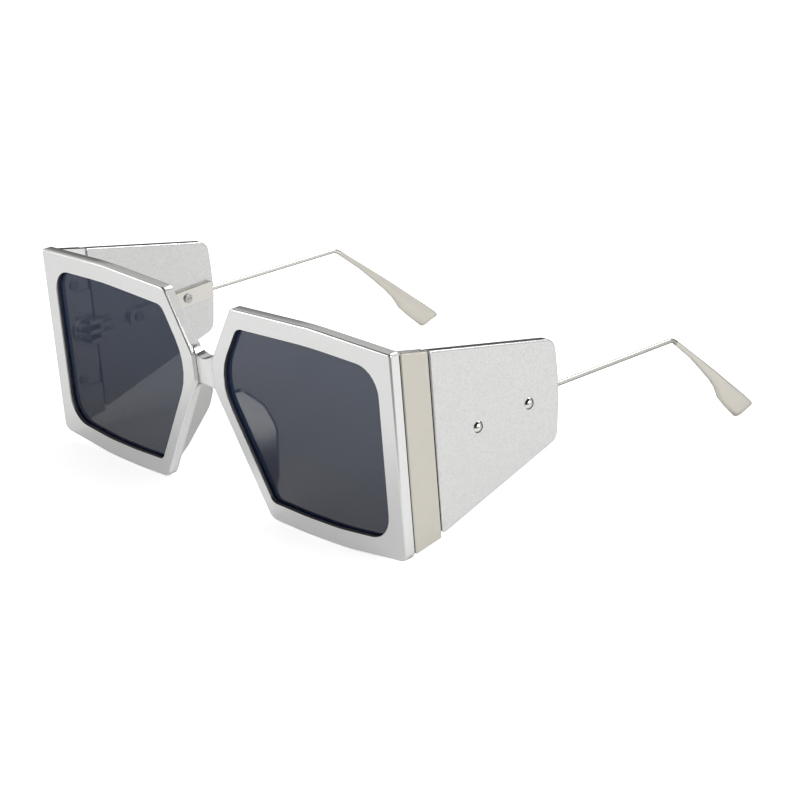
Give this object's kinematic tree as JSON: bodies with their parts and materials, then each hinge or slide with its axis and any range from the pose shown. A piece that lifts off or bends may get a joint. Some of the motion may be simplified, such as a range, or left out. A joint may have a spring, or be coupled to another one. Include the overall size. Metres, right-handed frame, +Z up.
{
  "type": "square sunglasses",
  "caption": "Square sunglasses with angular rims, wide tapered side panels on hinges, and thin wire arms with flat ear tips.",
  "frame": {"origin": "middle of the object's length and width, on the ground plane that the rims' feet and the ear tips stand on", "axes": "+Z up, the front looks towards -Y, the arms run back towards +Y, the wearer's left is +X"},
  "size_m": [0.1496, 0.144, 0.0582],
  "materials": {
    "front_plastic": "gloss, metallic silver pigment with a fine sparkle",
    "panel_plastic": "gloss, metallic silver pigment with a fine sparkle",
    "lens_tint": "polished grey tint, see-through",
    "trim_metal": "satin champagne lacquer",
    "hinge_metal": "satin",
    "arm_metal": "polished",
    "rivet_metal": "polished",
    "screw_steel": "satin",
    "tip_plastic": "satin champagne, metallic pigment"
  },
  "bodies": {
    "front": {"front_frame": "front_plastic", "lens_left": "lens_tint", "lens_right": "lens_tint", "trim_strip_left": "trim_metal", "trim_strip_right": "trim_metal", "strip_screws_left": "screw_steel", "strip_screws_right": "screw_steel", "hinge_front_leaf_left": "hinge_metal", "hinge_front_leaf_right": "hinge_metal", "hinge_screw_left": "screw_steel", "hinge_screw_right": "screw_steel", "front_leaf_screws_left": "screw_steel", "front_leaf_screws_right": "screw_steel"},
    "arm_left": {"side_panel_left": "panel_plastic", "hinge_rear_leaf_left": "hinge_metal", "rear_leaf_screws_left": "screw_steel", "arm_plate_left": "arm_metal", "arm_wire_left": "arm_metal", "dome_rivets_left": "rivet_metal", "rivet_screws_left": "screw_steel", "ear_tip_left": "tip_plastic"},
    "arm_right": {"side_panel_right": "panel_plastic", "hinge_rear_leaf_right": "hinge_metal", "rear_leaf_screws_right": "screw_steel", "arm_plate_right": "arm_metal", "arm_wire_right": "arm_metal", "dome_rivets_right": "rivet_metal", "rivet_screws_right": "screw_steel", "ear_tip_right": "tip_plastic"}
  },
  "joints": [
    {"name": "left_arm_fold", "type": "hinge", "parent": "front", "child": "arm_left", "pos_m": [0.06895, -0.05684, 0.0306], "axis": [0, 0, 1], "range_deg": [0, 90]},
    {"name": "right_arm_fold", "type": "hinge", "parent": "front", "child": "arm_right", "pos_m": [-0.06895, -0.05684, 0.0306], "axis": [0, 0, -1], "range_deg": [0, 85]}
  ]
}
